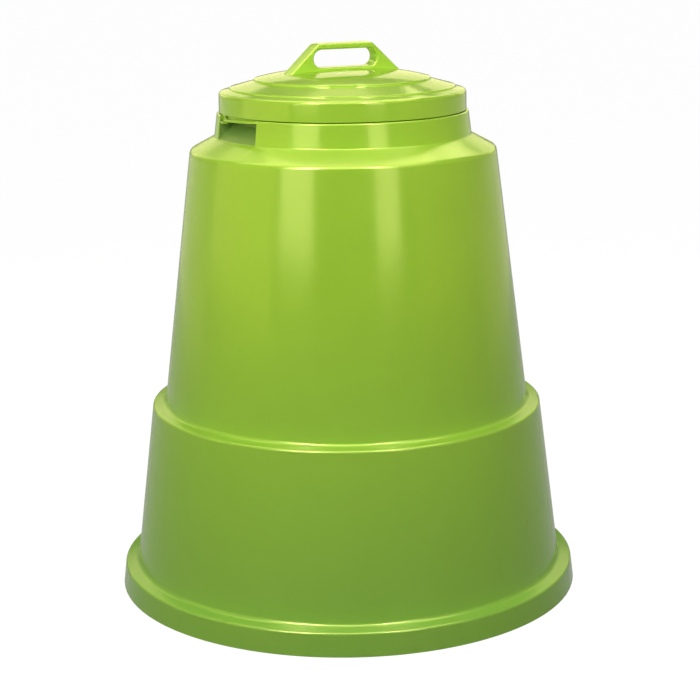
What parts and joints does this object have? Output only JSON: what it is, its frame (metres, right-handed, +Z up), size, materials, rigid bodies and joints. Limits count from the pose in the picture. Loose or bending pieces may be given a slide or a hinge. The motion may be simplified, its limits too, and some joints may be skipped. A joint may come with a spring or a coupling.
{
  "type": "compost bin",
  "caption": "Cone-shaped bottomless garden compost bin with a flanged base, a stepped tapering body, and a domed twist-lock lid with an arched grip.",
  "frame": {"origin": "centre of the base ring, in the plane it stands on", "axes": "+Z up along the bin's axis, +X along the lid's handle with the lid in its lift-off position, the notched end of one lock pocket at -X"},
  "size_m": [0.6399, 0.64, 0.748],
  "materials": {
    "body_plastic": "glossy moulded polypropylene, bright leaf green",
    "lid_plastic": "glossy moulded polypropylene, bright leaf green",
    "handle_plastic": "glossy moulded polypropylene, bright leaf green, softly rounded edges"
  },
  "bodies": {
    "bin": {"bin_body": "body_plastic"},
    "lid": {"lid": "lid_plastic", "handle": "handle_plastic"}
  },
  "joints": [
    {"name": "lid_lift", "type": "slide", "parent": "bin", "child": "lid", "axis": [0, 0, 1], "range_m": [0, 0.25]}
  ]
}
